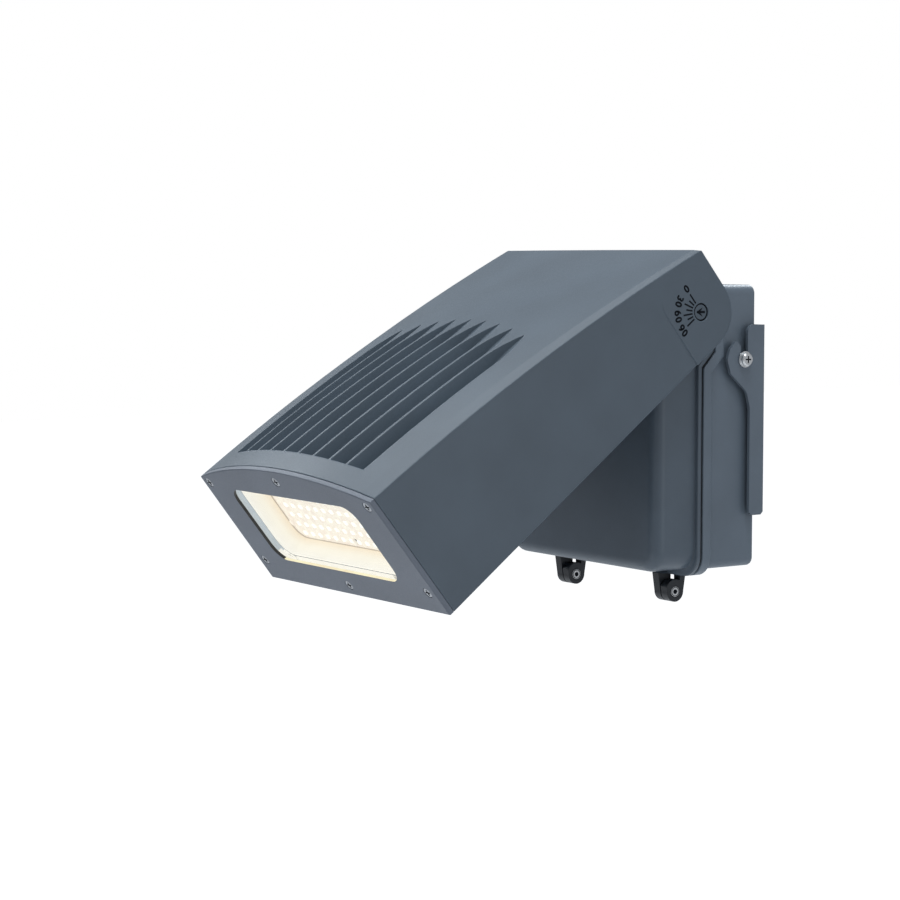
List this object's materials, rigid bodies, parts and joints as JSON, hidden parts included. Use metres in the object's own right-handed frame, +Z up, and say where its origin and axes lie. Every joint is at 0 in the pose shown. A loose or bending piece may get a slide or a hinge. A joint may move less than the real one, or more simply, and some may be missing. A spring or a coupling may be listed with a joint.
{
  "type": "wall pack light",
  "caption": "Adjustable LED wall pack light: finned lamp head tilting on side pivots of a two-part wiring box that hangs on a wall bracket.",
  "frame": {"origin": "centre of the wall bracket's rear face, which is the centre of its wall bolt pattern", "axes": "+Y into the wall, +Z up, +X to the right of someone who faces the wall"},
  "size_m": [0.2216, 0.3378, 0.24],
  "materials": {
    "head_paint": "textured powder coat on die-cast aluminium, satin",
    "frame_paint": "textured powder coat on die-cast aluminium, satin",
    "box_paint": "textured powder coat on die-cast aluminium, satin",
    "pivot_paint": "powder-coated steel, satin",
    "bracket_paint": "powder-coated sheet steel, satin",
    "bright_screws": "stainless steel, bright",
    "frame_screws": "stainless steel, dull",
    "green_screw": "green ground screw",
    "black_plastic": "black moulded plastic",
    "black_rubber": "black rubber, matt",
    "terminal_plastic": "pale moulded plastic",
    "driver_can": "plain aluminium can",
    "thermal_film": "grey heat-conducting film",
    "board_white": "white solder mask",
    "lamp_chips": "lit phosphor, warm white",
    "reflector_white": "white satin reflector",
    "lens_glass": "clear tempered glass"
  },
  "bodies": {
    "bracket": {"wall_bracket": "bracket_paint"},
    "housing": {"back_housing": "box_paint", "hang_screws": "bright_screws", "hang_washers": "bright_screws", "wire_grommet": "black_rubber", "terminal_block": "terminal_plastic", "ground_screw": "green_screw", "housing_seal": "black_rubber", "hinge_screws": "bright_screws", "hinge_nuts": "bright_screws"},
    "cover": {"front_cover": "box_paint", "cover_screws": "bright_screws", "led_driver": "driver_can", "driver_screws": "bright_screws", "lead_gland": "black_plastic", "pivot_bolts": "pivot_paint", "pivot_washers": "black_plastic", "pivot_lock_washers": "bright_screws", "pivot_nuts": "bright_screws"},
    "head": {"head_casting": "head_paint", "lead_grommet": "black_rubber", "thermal_pad": "thermal_film", "led_board": "board_white", "led_chips": "lamp_chips", "board_screws": "bright_screws", "reflector": "reflector_white", "lens_glass": "lens_glass", "lens_gasket": "black_rubber", "bezel_frame": "frame_paint", "bezel_screws": "frame_screws"}
  },
  "joints": [
    {"name": "housing_lift", "type": "slide", "parent": "bracket", "child": "housing", "axis": [0, 0, 1], "range_m": [0, 0.03]},
    {"name": "cover_hinge", "type": "hinge", "parent": "housing", "child": "cover", "pos_m": [0, -0.0545, -0.1173], "axis": [1, 0, 0], "range_deg": [0, 90]},
    {"name": "head_tilt", "type": "hinge", "parent": "cover", "child": "head", "pos_m": [0, -0.0725, 0.0747], "axis": [-1, 0, 0], "range_deg": [-52, 38]}
  ]
}
